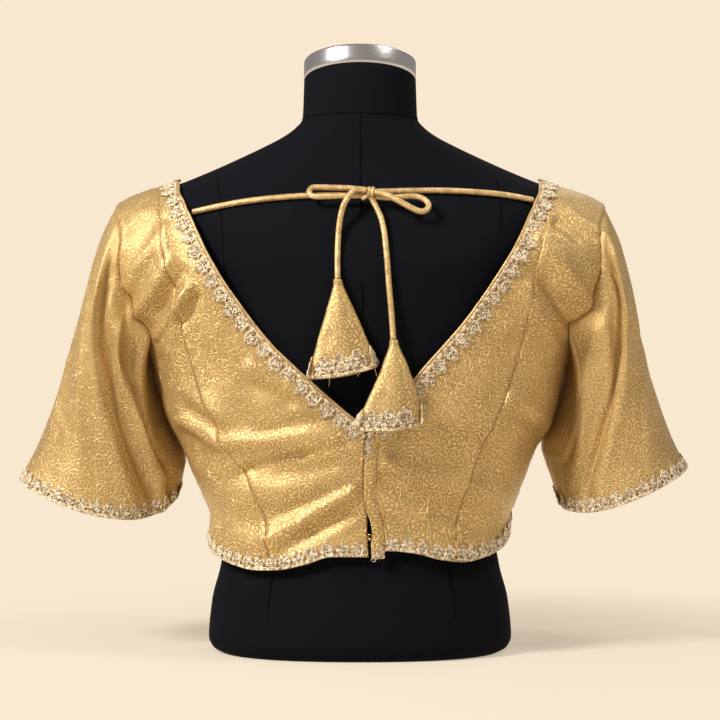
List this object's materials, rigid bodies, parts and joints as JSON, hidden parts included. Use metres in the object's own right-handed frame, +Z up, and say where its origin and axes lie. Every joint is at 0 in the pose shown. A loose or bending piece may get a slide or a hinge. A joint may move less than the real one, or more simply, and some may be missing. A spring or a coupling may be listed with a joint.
{
  "type": "brocade choli blouse on a limbless dress form with a steel neck cap",
  "caption": "Gold brocade choli blouse with a deep tied V back, bell elbow sleeves, scalloped lace edges and cloth tassels, worn by a limbless dress form with a neck cap.",
  "frame": {"origin": "middle of the dress form's flat underside", "axes": "+Z up the form, +X to the wearer's right, +Y the way the wearer faces, so the tied back of the blouse looks along -Y"},
  "size_m": [0.598, 0.2551, 0.5352],
  "materials": {
    "brocade": "satin-woven gold brocade with rose outlines",
    "lace": "ivory and pale gold loop lace with small beads",
    "piping": "satin gold piping",
    "hook": "polished",
    "form": "matt charcoal jersey",
    "steel": "brushed"
  },
  "bodies": {
    "root": {"back_left_centre": "brocade", "back_left_side": "brocade", "back_right_centre": "brocade", "back_right_side": "brocade", "front": "brocade", "sleeve_left": "brocade", "sleeve_right": "brocade", "placket_band": "brocade", "underflap": "brocade", "hook": "hook", "neck_piping": "piping", "neck_lace": "lace", "hem_lace": "lace", "sleeve_lace_left": "lace", "sleeve_lace_right": "lace", "cord_span_left": "brocade", "cord_span_right": "brocade", "cord_loop_left": "brocade", "cord_loop_right": "brocade", "cord_tail_left": "brocade", "cord_tail_right": "brocade", "bow_knot": "brocade", "tassel_left": "brocade", "tassel_right": "brocade", "tassel_lace_left": "lace", "tassel_lace_right": "lace", "form_torso": "form", "form_neck_cap": "steel"}
  },
  "joints": []
}
